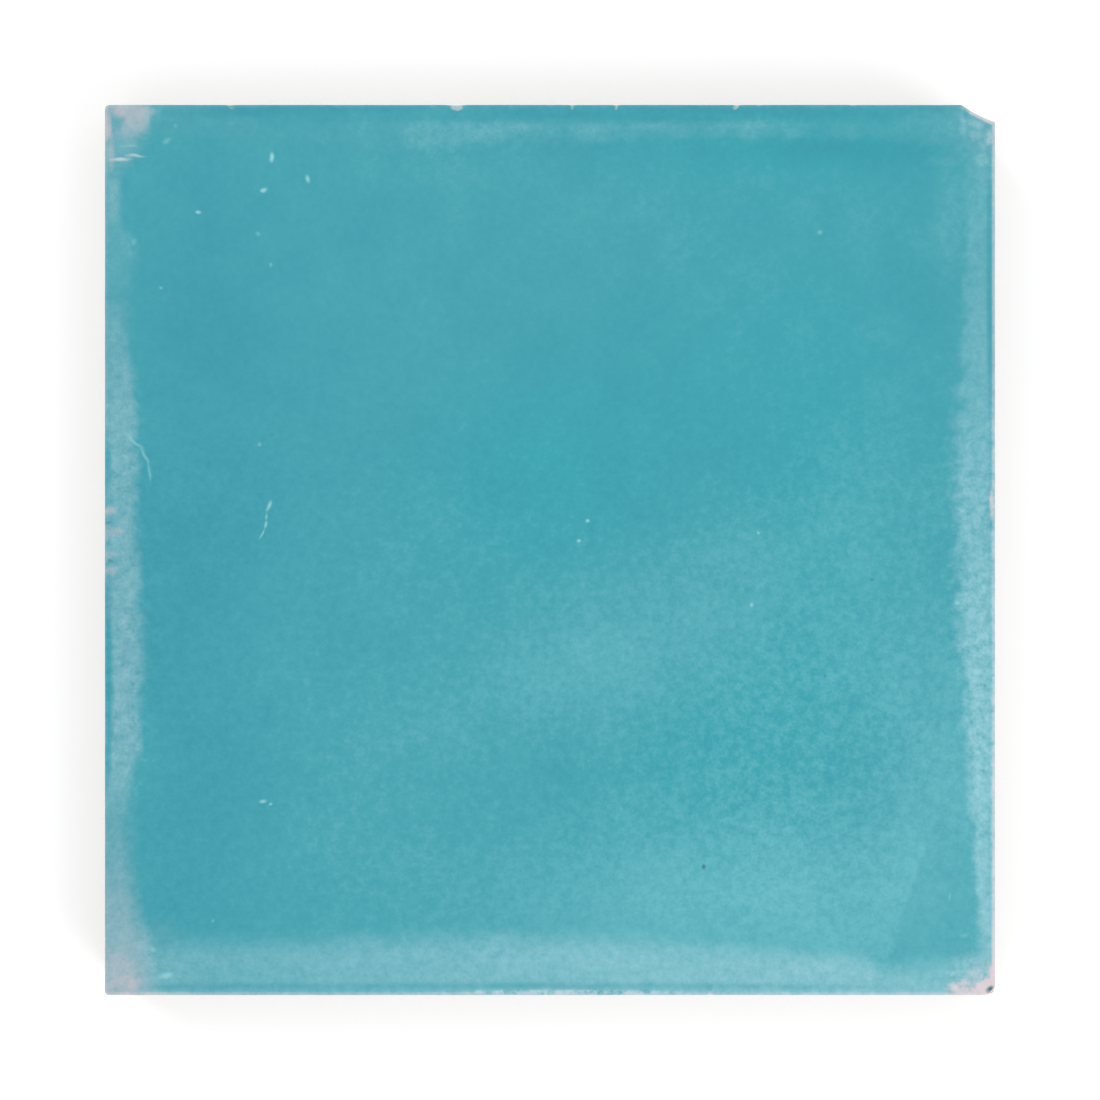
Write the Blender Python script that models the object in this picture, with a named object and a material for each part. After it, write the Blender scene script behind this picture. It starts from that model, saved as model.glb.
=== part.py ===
"""Pressed cement tile, 200 x 200 x 16 mm, lying on its back with its coloured face up.

One tile is one solid. Its origin is at the middle of its back, +Z points out of the face,
and all sizes are in metres. The back carries the shallow keys that a press plate stamps into
the damp mortar, for the bedding adhesive to grip. One corner is broken off, and one is chipped.
"""

import math

import bmesh
import bpy

# The block
FACE_SIDE = 0.200
THICKNESS = 0.016
SIDE_DRAFT = 0.0005
CORNER_RADIUS = 0.0010
CORNER_SEGMENTS = 4
FACE_ARRIS = 0.0007
FACE_ARRIS_SEGMENTS = 3
BACK_ARRIS = 0.0005

# The keyed back: square keys stand between grooves, inside a flat bearing rim
RIM_WIDTH = 0.0120
KEYS_PER_ROW = 8
GROOVE_WIDTH = 0.0050
GROOVE_DEPTH = 0.0012
GROOVE_WALL_RUN = 0.0010

# The far right corner, broken off right through: the lengths it has lost at the face, the
# height over which the break curves outwards by one such length, and how flat the break is.
# A flatness of 0 is a full hollow, and a greater value is flatter.
BREAK_ALONG_X = 0.0076
BREAK_ALONG_Y = 0.0039
BREAK_CURVE_HEIGHT = 0.0240
BREAK_FLATNESS = 2.2

# The near right corner, chipped at the face: what it has lost along X, along Y and down, and
# how flat the chip is
CHIP_ALONG_X = 0.0024
CHIP_ALONG_Y = 0.0018
CHIP_DEPTH = 0.0020
CHIP_FLATNESS = 1.0

# How finely both broken surfaces are faceted
BREAK_SUBDIVISIONS = 6

# The pigmented face
TURQUOISE = (0.0704, 0.3813, 0.4678, 1.0)
FACE_ROUGHNESS = 0.45
SMOOTH_UNDER = math.radians(35)


def clear_scene():
    """Remove every object, so that the script also runs again in an open file."""
    for old in list(bpy.data.objects):
        bpy.data.objects.remove(old, do_unlink=True)


def add_object(name, bm):
    """Put a bmesh into the scene as a named object whose faces point outwards."""
    bm.normal_update()
    bmesh.ops.recalc_face_normals(bm, faces=bm.faces)
    mesh = bpy.data.meshes.new(name)
    bm.to_mesh(mesh)
    bm.free()
    added = bpy.data.objects.new(name, mesh)
    bpy.context.scene.collection.objects.link(added)
    return added


def cut(target, cutter):
    """Take the cutter's volume out of the target, and keep the cutter itself out of the model."""
    cutter.hide_render = True
    cutter.display_type = "WIRE"
    difference = target.modifiers.new(cutter.name, "BOOLEAN")
    difference.operation = "DIFFERENCE"
    difference.solver = "EXACT"
    difference.object = cutter


def level_edges(bm, height):
    """The edges that lie at one height."""
    near_enough = THICKNESS / 1000
    return [
        edge
        for edge in bm.edges
        if all(abs(vert.co.z - height) < near_enough for vert in edge.verts)
    ]


def pressed_block():
    """The tile as it leaves the mould: square, narrower at its back, with its edges eased.

    Its sides lean in by SIDE_DRAFT from the face's arris to the back, so it is FACE_SIDE wide
    at the foot of that arris.
    """
    lean = SIDE_DRAFT / (THICKNESS - FACE_ARRIS)
    bm = bmesh.new()
    bmesh.ops.create_cube(bm, size=1.0)
    upright = [edge for edge in bm.edges if edge.verts[0].co.z * edge.verts[1].co.z < 0]
    for vert in bm.verts:
        at_face = vert.co.z > 0
        half_side = FACE_SIDE / 2 + (lean * FACE_ARRIS if at_face else -SIDE_DRAFT)
        vert.co.x = math.copysign(half_side, vert.co.x)
        vert.co.y = math.copysign(half_side, vert.co.y)
        vert.co.z = THICKNESS if at_face else 0.0
    bmesh.ops.bevel(
        bm,
        geom=upright,
        offset=CORNER_RADIUS,
        segments=CORNER_SEGMENTS,
        profile=0.5,
        affect="EDGES",
    )
    bmesh.ops.bevel(
        bm,
        geom=level_edges(bm, THICKNESS),
        offset=FACE_ARRIS,
        segments=FACE_ARRIS_SEGMENTS,
        profile=0.5,
        affect="EDGES",
    )
    bmesh.ops.bevel(bm, geom=level_edges(bm, 0.0), offset=BACK_ARRIS, segments=1, affect="EDGES")
    return add_object("tile", bm)


def step_out(bm, border, half_from, half_to, drop):
    """Carry a square border outwards from one half width to another, and down. The new border."""
    grown = bmesh.ops.extrude_edge_only(bm, edges=border)["geom"]
    for vert in (part for part in grown if isinstance(part, bmesh.types.BMVert)):
        vert.co.x *= half_to / half_from
        vert.co.y *= half_to / half_from
        vert.co.z -= drop
    return [part for part in grown if isinstance(part, bmesh.types.BMEdge) and part.is_boundary]


def press_plate():
    """The stamp that shapes the back: a plate whose top is the groove floor, with a pocket for each key.

    The pockets and the plate's sides go down through the plane of the back, and keep the slope
    of the groove walls there, so that keys and grooves have their named widths in that plane.
    """
    field = FACE_SIDE - 2 * (SIDE_DRAFT + RIM_WIDTH)
    key_side = (field - (KEYS_PER_ROW + 1) * GROOVE_WIDTH) / KEYS_PER_ROW
    half_cells = KEYS_PER_ROW * (key_side + GROOVE_WIDTH) / 2
    half_floor = field / 2 - GROOVE_WALL_RUN
    slope = GROOVE_WALL_RUN / GROOVE_DEPTH
    pocket_depth = 2 * GROOVE_DEPTH
    plate_depth = 3 * GROOVE_DEPTH

    bm = bmesh.new()
    bmesh.ops.create_grid(
        bm, x_segments=KEYS_PER_ROW, y_segments=KEYS_PER_ROW, size=half_cells
    )
    for vert in bm.verts:
        vert.co.z = GROOVE_DEPTH
    cells = list(bm.faces)
    border = [edge for edge in bm.edges if edge.is_boundary]
    border = step_out(bm, border, half_cells, half_floor, 0.0)
    border = step_out(bm, border, half_floor, half_floor + plate_depth * slope, plate_depth)
    bmesh.ops.edgeloop_fill(bm, edges=border)
    bmesh.ops.inset_individual(bm, faces=cells, thickness=GROOVE_WIDTH / 2 - GROOVE_WALL_RUN)
    bmesh.ops.inset_individual(
        bm, faces=cells, thickness=pocket_depth * slope, depth=-pocket_depth
    )
    return add_object("press_plate", bm)


def corner_cutter(name, x_way, y_way, along_x, along_y, along_z, flatness, rise):
    """A smooth scoop off one corner: an ellipsoid that takes along_x and along_y off the face's sides.

    In units of the three lengths, it is a sphere centred flatness outside the corner along X
    and along Y, and rise above the face, that passes 1 away from the corner along either side.
    """
    radius = math.hypot(1 + flatness, flatness, rise)
    bm = bmesh.new()
    bmesh.ops.create_icosphere(bm, subdivisions=BREAK_SUBDIVISIONS, radius=radius)
    for vert in bm.verts:
        vert.co.x = x_way * (FACE_SIDE / 2 + (vert.co.x + flatness) * along_x)
        vert.co.y = y_way * (FACE_SIDE / 2 + (vert.co.y + flatness) * along_y)
        vert.co.z = THICKNESS + (vert.co.z + rise) * along_z
    return add_object(name, bm)


def broken_corner():
    """The far right corner's cutter. It is widest at the back, so the break is slightly undercut."""
    return corner_cutter(
        "broken_corner",
        1,
        1,
        BREAK_ALONG_X,
        BREAK_ALONG_Y,
        BREAK_CURVE_HEIGHT,
        BREAK_FLATNESS,
        rise=-THICKNESS / BREAK_CURVE_HEIGHT,
    )


def chipped_corner():
    """The near right corner's cutter, which runs out on the upright edge below the face."""
    return corner_cutter(
        "chipped_corner",
        1,
        -1,
        CHIP_ALONG_X,
        CHIP_ALONG_Y,
        CHIP_DEPTH,
        CHIP_FLATNESS,
        rise=CHIP_FLATNESS,
    )


def face_finish():
    """Cement coloured with a turquoise pigment, as the pressed face shows it."""
    finish = bpy.data.materials.new("turquoise_cement")
    finish.use_nodes = True
    shader = finish.node_tree.nodes["Principled BSDF"]
    shader.inputs["Base Color"].default_value = TURQUOISE
    shader.inputs["Roughness"].default_value = FACE_ROUGHNESS
    shader.inputs["Metallic"].default_value = 0.0
    return finish


clear_scene()
tile = pressed_block()
tile.data.shade_smooth()
tile.data.set_sharp_from_angle(angle=SMOOTH_UNDER)
tile.data.materials.append(face_finish())
cut(tile, press_plate())
cut(tile, broken_corner())
cut(tile, chipped_corner())
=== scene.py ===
import math

import bpy
import numpy as np
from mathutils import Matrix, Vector


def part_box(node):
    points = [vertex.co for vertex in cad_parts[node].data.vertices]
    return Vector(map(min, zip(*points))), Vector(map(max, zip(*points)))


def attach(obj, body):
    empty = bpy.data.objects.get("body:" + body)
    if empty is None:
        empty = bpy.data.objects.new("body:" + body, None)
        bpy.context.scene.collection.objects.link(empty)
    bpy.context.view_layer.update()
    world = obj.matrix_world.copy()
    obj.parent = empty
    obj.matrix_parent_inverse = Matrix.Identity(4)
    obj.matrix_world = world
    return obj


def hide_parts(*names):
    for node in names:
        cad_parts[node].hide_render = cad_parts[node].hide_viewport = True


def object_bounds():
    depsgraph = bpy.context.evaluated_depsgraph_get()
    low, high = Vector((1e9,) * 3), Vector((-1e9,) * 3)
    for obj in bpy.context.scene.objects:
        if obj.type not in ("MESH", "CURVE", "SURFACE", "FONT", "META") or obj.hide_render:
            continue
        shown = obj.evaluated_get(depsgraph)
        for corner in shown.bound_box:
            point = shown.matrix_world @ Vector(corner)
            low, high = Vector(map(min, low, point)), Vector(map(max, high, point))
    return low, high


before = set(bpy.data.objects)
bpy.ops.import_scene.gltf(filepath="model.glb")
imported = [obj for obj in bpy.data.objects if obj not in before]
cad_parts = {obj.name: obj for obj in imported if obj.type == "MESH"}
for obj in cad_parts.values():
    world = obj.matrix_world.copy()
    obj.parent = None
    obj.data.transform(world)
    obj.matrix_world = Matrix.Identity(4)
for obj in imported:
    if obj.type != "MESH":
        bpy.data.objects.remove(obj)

cad_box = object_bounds()

# The floor is a sheet of white paper on a light table, much wider than the tile. Paper is matt,
# and the little light from below leaves only a faint shadow beside the tile. The sizes are in
# metres, and the gap keeps it just clear of the tile's back.
PAPER_SIDE = 8.0
PAPER_GAP = 0.00005
PAPER_WHITE = "#FAFAFA"
PAPER_GLOW = 0.16


def linear(hex_colour):
    """A colour given as sRGB hex, as the linear RGBA that a shader reads.

    The sRGB curve is undone: a power of 2.4 above its short straight foot.
    """
    channels = np.array([int(hex_colour[i : i + 2], 16) for i in (1, 3, 5)]) / 255
    curved = ((channels + 0.055) / 1.055) ** 2.4
    return (*np.where(channels > 0.04045, curved, channels / 12.92).tolist(), 1.0)


def mesh_object(name, points, faces, material):
    """An object at the origin whose mesh has these points and lists of faces, with one material."""
    mesh = bpy.data.meshes.new(name)
    mesh.from_pydata(points.tolist(), [], faces)
    mesh.materials.append(material)
    made = bpy.data.objects.new(name, mesh)
    bpy.context.scene.collection.objects.link(made)
    return made


paper_finish = bpy.data.materials.new("matt_white_paper")
paper_finish.use_nodes = True
paper_shader = paper_finish.node_tree.nodes["Principled BSDF"]
paper_shader.inputs["Base Color"].default_value = linear(PAPER_WHITE)
paper_shader.inputs["Roughness"].default_value = 1.0
paper_shader.inputs["Specular IOR Level"].default_value = 0.0
paper_shader.inputs["Emission Color"].default_value = linear(PAPER_WHITE)
paper_shader.inputs["Emission Strength"].default_value = PAPER_GLOW

corners = np.array([[-1, -1, 0], [1, -1, 0], [1, 1, 0], [-1, 1, 0]]) * PAPER_SIDE / 2
corners[:, 2] = cad_box[0].z - PAPER_GAP
paper = mesh_object("paper_floor", corners, [[0, 1, 2, 3]], paper_finish)

# The light is a white room and two big softboxes, low enough that neither mirrors in the face
# when it is seen from straight above. The near right one is the stronger, as in the photograph.
ROOM_BRIGHTNESS = 0.78
SOFTBOXES = {
    "near_right_softbox": {"place": (1.15, -1.05, 0.95), "side": 1.1, "watts": 11.5},
    "far_left_softbox": {"place": (-1.2, 1.1, 0.9), "side": 1.1, "watts": 9.0},
}

room = bpy.data.worlds.new("white_room")
room.use_nodes = True
room.node_tree.nodes["Background"].inputs["Color"].default_value = (1.0, 1.0, 1.0, 1.0)
room.node_tree.nodes["Background"].inputs["Strength"].default_value = ROOM_BRIGHTNESS
bpy.context.scene.world = room
bpy.context.scene.view_settings.view_transform = "Standard"

for name, softbox in SOFTBOXES.items():
    light = bpy.data.lights.new(name, "AREA")
    light.size = softbox["side"]
    light.energy = softbox["watts"]
    lamp = bpy.data.objects.new(name, light)
    lamp.location = softbox["place"]
    lamp.rotation_euler = (-Vector(softbox["place"])).to_track_quat("-Z", "Y").to_euler()
    bpy.context.scene.collection.objects.link(lamp)

# The camera looks straight down, as the photograph does, with a like margin of floor round the
# tile. SHARE_OF_FRAME is the tile's width over the frame's.
LENS_MM = 85.0
SENSOR_MM = 36.0
SHARE_OF_FRAME = 0.81

tile_low, tile_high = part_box("tile")
frame_width = (tile_high[0] - tile_low[0]) / SHARE_OF_FRAME
camera_data = bpy.data.cameras.new("camera")
camera_data.lens = LENS_MM
camera_data.sensor_width = SENSOR_MM
camera = bpy.data.objects.new("camera", camera_data)
camera.location = (0.0, 0.0, tile_high[2] + frame_width * LENS_MM / SENSOR_MM)
bpy.context.scene.collection.objects.link(camera)
bpy.context.scene.camera = camera

# The tile is one pressed block: a face layer of white cement coloured with turquoise pigment,
# about 3 mm thick, on a back of grey sand and cement mortar. It was pressed face down in a steel
# mould by a plate whose pattern stays in its back. Sizes here are in millimetres.
MM = 0.001
HALF = (tile_high[0] - tile_low[0]) / MM / 2
THICK = (tile_high[2] - tile_low[2]) / MM
# How much narrower each side is at the back, and how round the corners and edges are
DRAFT = 0.5
CORNER_RADIUS = 1.0
BACK_ARRIS = 0.5
FACE_ARRIS = 0.5
BREAK_ARRIS = 0.18
# Dips in the face's edge besides the nicks: the noise above which they are, and how deep they
# grow with it
DIPS_ABOVE = 0.6
DIP_GROWTH = 1.2

# The rings of points run round both edges, between a strip of the back and one of the face.
# Their points are a whole multiple of the cells of the grids that fill in the face and the back.
POINTS_PER_SIDE = 360
FACE_CELLS_PER_SIDE = 180
FACE_STRIP = 7.0
FACE_STRIP_SHARES = (0.0, 0.04, 0.09, 0.14, 0.2, 0.27, 0.35, 0.44, 0.54, 0.66, 0.8, 1.0)
BACK_STRIP = 6.5
BACK_STRIP_INSETS = (5.0, 2.8)
BACK_STRIP_FADE = 4.5
SIDE_RINGS = 13
SEAM = 1.0

# The keyed back: its flat rim, and the grooves between its keys, with the width of their walls
RIM = 12.0
KEYS_PER_ROW = 8
GROOVE = 5.0
GROOVE_DEPTH = 1.2
GROOVE_WALL = 1.0

# What is lost along the axes at the far right corner, which is broken off right through, and at
# the near right one, which is chipped at the face. A larger flatness makes a straighter break, and
# a larger curve height a steeper one.
BREAK_LOST = np.array([7.6, 3.9])
BREAK_CURVE_HEIGHT = 24.0
BREAK_FLATNESS = 2.2
CHIP_LOST = np.array([2.4, 1.8, 2.0])
CHIP_FLATNESS = 1.0

# The coloured layer's thickness, and how deep the sides' features are: the mortar lies behind the
# layer, and the break is rough in two sizes
FACE_LAYER = 3.2
MORTAR_SET_BACK = 0.14
MORTAR_ROUGHNESS = 0.05
VOID_DEPTH = 0.8
LAYER_ROUGHNESS = 0.025
LAYER_PIT_DEPTH = 0.25
BREAK_ROUGHNESS = (0.16, 0.10)
# How deep the face's slow and quick waves, its fall at the edges and its rubbed places are
FACE_WAVES = (0.016, 0.006)
EDGE_FALL = 0.05
RUBBED_DEPTH = 0.07


def ease(value, start, end):
    """0 before start, 1 after end, and 3t^2 - 2t^3 between them."""
    t = np.clip((value - start) / (end - start), 0, 1)
    return t * t * (3 - 2 * t)


HASH_PRIMES = (73856093, 19349663, 83492791)
HASH_TABLE_SIZE = 8192


def lattice_values(cells, seed):
    """A repeatable random number from 0 to 1 for each cell: its whole numbers hashed into a table."""
    table = np.random.default_rng(seed).random(HASH_TABLE_SIZE)
    mixed = np.bitwise_xor.reduce(cells * HASH_PRIMES, axis=-1)
    return table[mixed % HASH_TABLE_SIZE]


def lumps(points, size, seed):
    """Smooth noise from -1 to 1: random values at a cubic lattice's corners, eased across each cell."""
    cell = np.floor(points / size).astype(np.int64)
    t = points / size - cell
    t = t * t * (3 - 2 * t)
    total = np.zeros(points.shape[:-1])
    for corner in np.ndindex(2, 2, 2):
        near = np.where(np.array(corner) == 1, t, 1 - t).prod(-1)
        total += near * lattice_values(cell + np.array(corner), seed)
    return total * 2 - 1


def hollows(points, size, radius, share, seed):
    """Round hollows, 1 - (d / r)^2 deep: a share of the lattice's cells holds one, placed at random."""
    cell = np.floor(points / size).astype(np.int64)
    deepest = np.zeros(points.shape[:-1])
    for step in np.ndindex(3, 3, 3):
        near = cell + np.array(step) - 1
        place = np.stack([lattice_values(near, seed + axis) for axis in range(3)], -1)
        reach = radius * (0.5 + 0.5 * lattice_values(near, seed + 3))
        holds = lattice_values(near, seed + 4) < share
        away = np.linalg.norm(points - (near + place) * size, axis=-1)
        deepest = np.maximum(deepest, holds * np.clip(1 - (away / reach) ** 2, 0, 1))
    return deepest


def square_path(per_side):
    """Points round a square of half width 1, anticlockwise from its near left corner."""
    run = np.arange(per_side) / per_side * 2 - 1
    one = np.ones(per_side)
    sides = [(run, -one), (one, run), (-run, one), (-one, -run)]
    return np.concatenate([np.stack(side, 1) for side in sides])


def outline(square, height):
    """The tile's outline at some heights, plain and broken: the square path in millimetres.

    The plain one has round corners: a corner point is carried to CORNER_RADIUS from the corner's
    centre. The break is a sphere's hollow in its own units, which are the lengths lost along the
    two sides and BREAK_CURVE_HEIGHT. At a height it is a circle, out to which the points inside
    it are carried.
    """
    path = square * HALF
    core = np.clip(path, CORNER_RADIUS - HALF, HALF - CORNER_RADIUS)
    reach = path - core
    plain = core + reach * (CORNER_RADIUS / np.linalg.norm(reach, axis=-1, keepdims=True))
    rise = THICK / BREAK_CURVE_HEIGHT
    sphere = math.hypot(1 + BREAK_FLATNESS, BREAK_FLATNESS, rise)
    circle = np.sqrt(sphere**2 - (height / BREAK_CURVE_HEIGHT) ** 2)[..., None]
    away = (plain - HALF) / BREAK_LOST - BREAK_FLATNESS
    distance = np.linalg.norm(away, axis=-1, keepdims=True)
    broken = HALF + (away / distance * np.maximum(distance, circle) + BREAK_FLATNESS) * BREAK_LOST
    return plain, broken


def stitch(fine, coarse, ratio):
    """Upward triangles from a closed ring to one inside it, with ratio fine points for each coarse one.

    Each coarse point is joined to the fine points nearest to it, and each pair of coarse points
    to the fine point halfway between them.
    """
    fine_at = np.arange(len(coarse)) * ratio
    nearer, farther = coarse, np.roll(coarse, -1)
    middle = ratio // 2
    made = [np.stack([fine[fine_at + middle], farther, nearer], 1)]
    for step in range(ratio):
        ends = fine[fine_at + step], fine[(fine_at + step + 1) % len(fine)]
        made.append(np.stack([*ends, nearer if step < middle else farther], 1))
    return np.concatenate(made)


def grid_of(lines, first):
    """A square grid on these lines: its points' x and y, its upward quads and its border.

    Its points are numbered from first, row by row, and its border runs anticlockwise.
    """
    x, y = np.meshgrid(lines, lines)
    index = first + np.arange(x.size).reshape(x.shape)
    quads = np.stack([index[:-1, :-1], index[:-1, 1:], index[1:, 1:], index[1:, :-1]], -1)
    border = np.concatenate(
        [index[0, :-1], index[:-1, -1], index[-1, :0:-1], index[:0:-1, 0]]
    )
    return np.stack([x.ravel(), y.ravel()], 1), quads.reshape(-1, 4), border


# Nicks in the face's edge, each at a place on it: x, y, half length and depth
EDGE_NICKS = [
    (-72, 100, 1.2, 0.6),
    (-21, 100, 2.8, 0.9),
    (5, 100, 0.9, 0.6),
    (15, 100, 1.0, 0.8),
    (42, 100, 1.0, 0.7),
    (47, 100, 0.8, 0.5),
    (68, 100, 0.9, 0.6),
    (100, 27, 1.2, 0.6),
    (100, -34, 1.0, 0.5),
    (98.6, -100, 1.6, 0.6),
    (36, -100, 1.2, 0.5),
]

# The face's edge, worn more here and less there, with a few dips besides the nicks. The break's
# own edge is sharper.
path = square_path(POINTS_PER_SIDE)
rim = np.concatenate([path * HALF, np.full((len(path), 1), THICK)], 1)
plain_rim, broken_rim = outline(path, np.array(THICK))
broken_off = np.linalg.norm(plain_rim - broken_rim, axis=1)
on_break = ease(broken_off, 0.0, 0.3)
edge_wear = FACE_ARRIS * (1 + 0.2 * lumps(rim, 9.0, 11) + 0.15 * lumps(rim, 2.3, 12))
edge_wear += DIP_GROWTH * np.clip(lumps(rim, 2.9, 13) - DIPS_ABOVE, 0, 1)
for nick_x, nick_y, half_length, deeper in EDGE_NICKS:
    away = np.linalg.norm(rim[:, :2] - (nick_x, nick_y), axis=1) / half_length
    edge_wear += deeper * np.clip(1 - away, 0, 1) * (1 + 0.4 * lumps(rim, 1.1, 14))
edge_wear = edge_wear * (1 - on_break) + BREAK_ARRIS * on_break

# The rings: how far in from the outline and how high each is, from the back's flat rim round
# both edges to the face. Both edges are quarter rounds, which the wear makes larger or smaller.
quarter = np.radians([22.5, 45.0, 67.5])
halfway = quarter[1]
insets = [*BACK_STRIP_INSETS, DRAFT + BACK_ARRIS, DRAFT + BACK_ARRIS * (1 - np.sin(halfway))]
heights = [0.0, 0.0, 0.0, BACK_ARRIS * (1 - np.cos(halfway))]
for share in np.linspace(0, 1, SIDE_RINGS):
    height = BACK_ARRIS + (THICK - edge_wear - BACK_ARRIS) * share
    insets.append(DRAFT * (1 - height / THICK))
    heights.append(height)
for angle in quarter:
    insets.append(edge_wear * (1 - np.cos(angle)))
    heights.append(THICK - edge_wear * (1 - np.sin(angle)))
for share in FACE_STRIP_SHARES:
    insets.append(edge_wear + (FACE_STRIP - edge_wear) * share)
    heights.append(THICK)
insets = np.stack([inset * np.ones(len(path)) for inset in insets])
heights = np.stack([height * np.ones(len(path)) for height in heights])

# The break and the corner's radius fade into the plain square along each flat strip
face_fade = np.clip((insets - edge_wear) / (FACE_STRIP - edge_wear), 0, 1) * (heights >= THICK)
back_fade = np.clip((insets - DRAFT - BACK_ARRIS) / BACK_STRIP_FADE, 0, 1) * (heights <= 0)
fade = (face_fade + back_fade)[..., None]
plain, broken = outline(path, heights)
flat = (plain * fade + broken * (1 - fade)) * (1 - insets / HALF)[..., None]

# The sides: the mortar is rough, has voids and lies a little behind the dense face layer,
# whose lower line wanders. All of it is depth taken inwards from the mould's flat wall.
tangent = np.roll(broken_rim, -1, 0) - np.roll(broken_rim, 1, 0)
outward = np.stack([tangent[:, 1], -tangent[:, 0]], 1) / np.linalg.norm(tangent, axis=1, keepdims=True)
layer_line = THICK - FACE_LAYER * (1 + 0.16 * lumps(rim, 14.0, 21) + 0.12 * lumps(rim, 4.0, 22))
rings = np.concatenate([flat, heights[..., None]], -1)
above_line = heights - layer_line
mortar = 1 - ease(above_line, -0.3, 0.3)
voids = hollows(rings, size=3.4, radius=1.25, share=0.3, seed=33)
mortar_depth = (
    MORTAR_SET_BACK
    + MORTAR_ROUGHNESS * (1 + lumps(rings, 1.7, 31))
    + MORTAR_ROUGHNESS * (1 + lumps(rings, 6.0, 32))
    + VOID_DEPTH * voids
)
pits = hollows(rings, size=4.0, radius=0.8, share=0.15, seed=35)
layer_depth = LAYER_ROUGHNESS * (1 + lumps(rings, 3.0, 34)) + LAYER_PIT_DEPTH * pits
broken_depth = BREAK_ROUGHNESS[0] * (1 + lumps(rings, 2.4, 36))
broken_depth += BREAK_ROUGHNESS[1] * (1 + lumps(rings, 1.1, 37))
depth = mortar * mortar_depth + (1 - mortar) * layer_depth + on_break * broken_depth
below_arris = 1 - ease(heights, THICK - 1.3 * edge_wear, THICK - 0.3 * edge_wear)
on_side = ease(heights, 0.1, 0.9) * below_arris
rings[..., :2] -= outward * (depth * on_side)[..., None]

# The face, one flat grid inside its strip
face_half = HALF - FACE_STRIP - SEAM
face_first = insets.size
face_flat, face_quads, face_border = grid_of(
    np.linspace(-face_half, face_half, FACE_CELLS_PER_SIDE + 1), face_first
)
face = np.concatenate([face_flat, np.full((len(face_flat), 1), THICK)], 1)

# The back, a grid whose lines follow the pattern's grooves: three cells down each wall, two
# across the floor and two across each key
field = HALF - DRAFT - RIM
key = (2 * field - (KEYS_PER_ROW + 1) * GROOVE) / KEYS_PER_ROW
wall = np.linspace(0, GROOVE_WALL, 4)
steps = np.concatenate([wall, [GROOVE / 2], GROOVE - wall[::-1]])
starts = -field + np.arange(KEYS_PER_ROW + 1) * (key + GROOVE)
back_half = HALF - BACK_STRIP
middles = starts[1:] - key / 2
groove_lines = (starts[:, None] + steps).ravel()
back_lines = np.sort(np.concatenate([[-back_half, back_half], groove_lines, middles]))
back_first = face_first + len(face)
back_flat, back_quads, back_border = grid_of(back_lines, back_first)


def groove_share(across):
    """The grooves across one axis: 0 on a key and 1 on a groove's floor, eased down the walls."""
    into = np.mod(across + field, key + GROOVE)
    return ease(into, 0, GROOVE_WALL) * (1 - ease(into, GROOVE - GROOVE_WALL, GROOVE))


inside_field = ease(field - np.abs(back_flat), 0, GROOVE_WALL)
grooves = np.minimum(groove_share(back_flat), inside_field[:, ::-1]).max(1)
back = np.concatenate([back_flat, (GROOVE_DEPTH * grooves)[:, None]], 1)

# All the points, with their height above the layer's line and how far each lies in a void
points = np.concatenate([rings.reshape(-1, 3), face, back])
above = np.concatenate([above_line.ravel(), np.full(len(face), FACE_LAYER), np.full(len(back), -THICK)])
hollow = np.concatenate([(voids * mortar * on_side).ravel(), np.zeros(len(face) + len(back))])
x, y, z = points.T

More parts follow.
